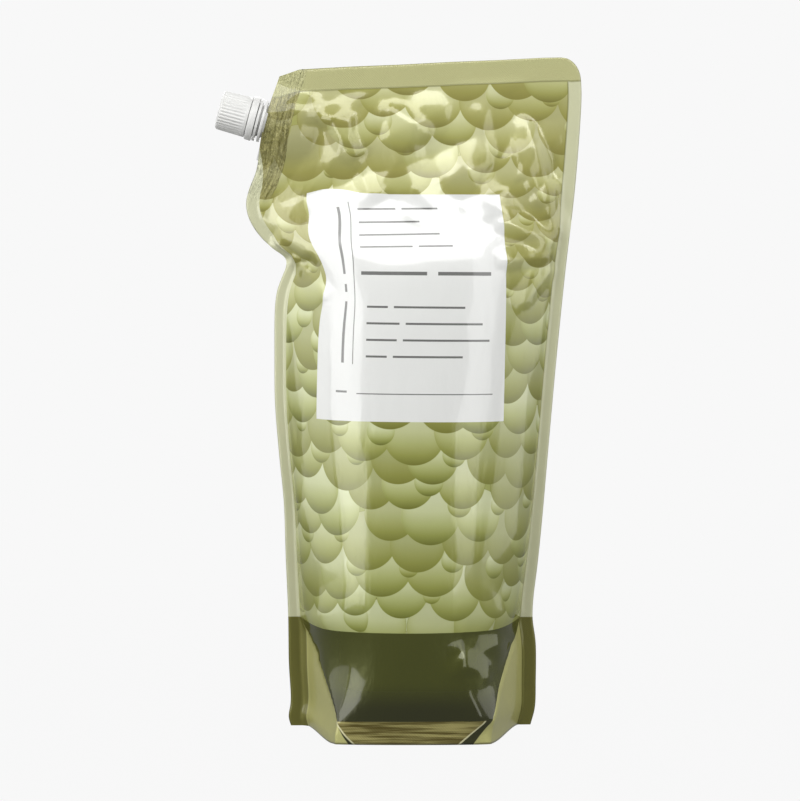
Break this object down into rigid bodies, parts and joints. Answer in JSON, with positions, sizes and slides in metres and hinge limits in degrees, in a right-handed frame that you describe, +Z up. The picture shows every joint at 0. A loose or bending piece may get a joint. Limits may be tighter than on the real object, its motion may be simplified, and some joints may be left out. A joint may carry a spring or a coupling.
{
  "type": "hand soap refill pack",
  "caption": "Stand-up film pouch of liquid hand soap with fused side, top and skirt seams and a slanted corner spout closed by a ribbed screw cap with a tamper band.",
  "frame": {"origin": "middle of the flat base that the pack stands on", "axes": "+Z up the pack, -Y out of its printed front, +X to the right seen from the front, so the spout is at -X and points up to the left"},
  "size_m": [0.1595, 0.0718, 0.2962],
  "materials": {
    "printed_film": "gloss",
    "white_plastic": "satin"
  },
  "bodies": {
    "pack": {"pouch": "printed_film", "spout": "white_plastic"},
    "band": {"tamper_band": "white_plastic"},
    "cap": {"screw_cap": "white_plastic"}
  },
  "joints": [
    {"name": "cap_turn", "type": "hinge", "parent": "pack", "child": "band", "pos_m": [-0.0637, 0, 0.2683], "axis": [-0.9659, 0, 0.2588], "range_deg": [0, 540]},
    {"name": "cap_rise", "type": "slide", "parent": "band", "child": "cap", "axis": [-0.9659, 0, 0.2588], "range_m": [0, 0.00451]}
  ],
  "couplings": [
    {"joint": "cap_rise", "follows": "cap_turn", "m_per_rad": 0.00047746}
  ]
}
